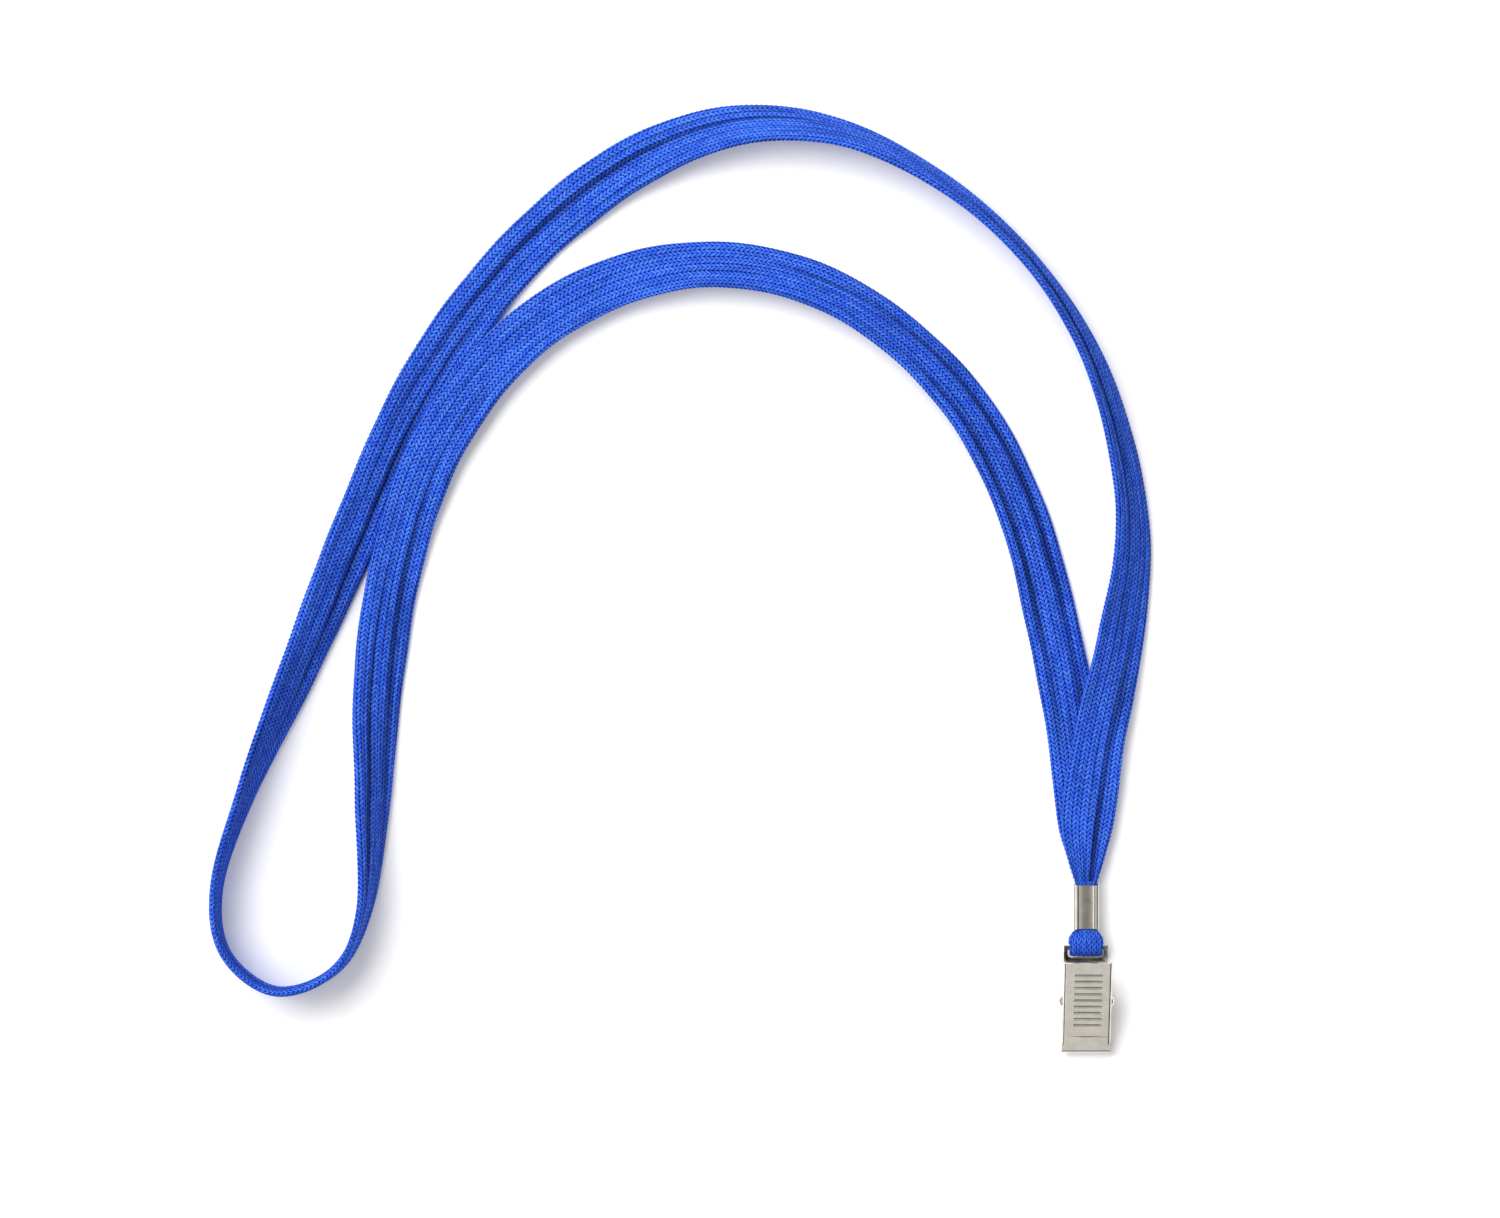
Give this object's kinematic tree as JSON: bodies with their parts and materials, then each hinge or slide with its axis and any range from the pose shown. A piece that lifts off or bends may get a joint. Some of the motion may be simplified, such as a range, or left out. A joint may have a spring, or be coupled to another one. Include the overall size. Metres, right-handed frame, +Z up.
{
  "type": "lanyard badge holder",
  "caption": "Flat braided neck strap folded into a loop, its ends held in a crimped ferrule, with a sprung metal jaw clip for a badge.",
  "frame": {"origin": "on the surface the part lies on, under the middle of the clip and ferrule taken together", "axes": "+Y along the clip from its jaws towards the strap, +Z up out of the surface, from the rear lever to the thumb lever"},
  "size_m": [0.2225, 0.225, 0.0125],
  "materials": {
    "braid": "flat tubular braid with a soft sheen",
    "nickel_plate": "bright nickel plate on stamped steel",
    "spring_steel": "drawn spring wire"
  },
  "bodies": {
    "strap": {"neck_strap": "braid", "clip_loop": "braid", "ferrule": "nickel_plate"},
    "clip_body": {"rear_lever": "nickel_plate", "rivet": "nickel_plate", "spring": "spring_steel"},
    "thumb": {"thumb_lever": "nickel_plate"}
  },
  "joints": [
    {"name": "clip_swing", "type": "hinge", "parent": "strap", "child": "clip_body", "pos_m": [0, 0.00494, 0.0022], "axis": [1, 0, 0], "range_deg": [-70, 80]},
    {"name": "thumb_squeeze", "type": "hinge", "parent": "clip_body", "child": "thumb", "pos_m": [0, -0.00777, 0.0037], "axis": [-1, 0, 0], "range_deg": [0, 30], "stiffness_Nm_per_rad": 0.06, "springref_deg": -57.3, "deforming": ["spring"]}
  ]
}
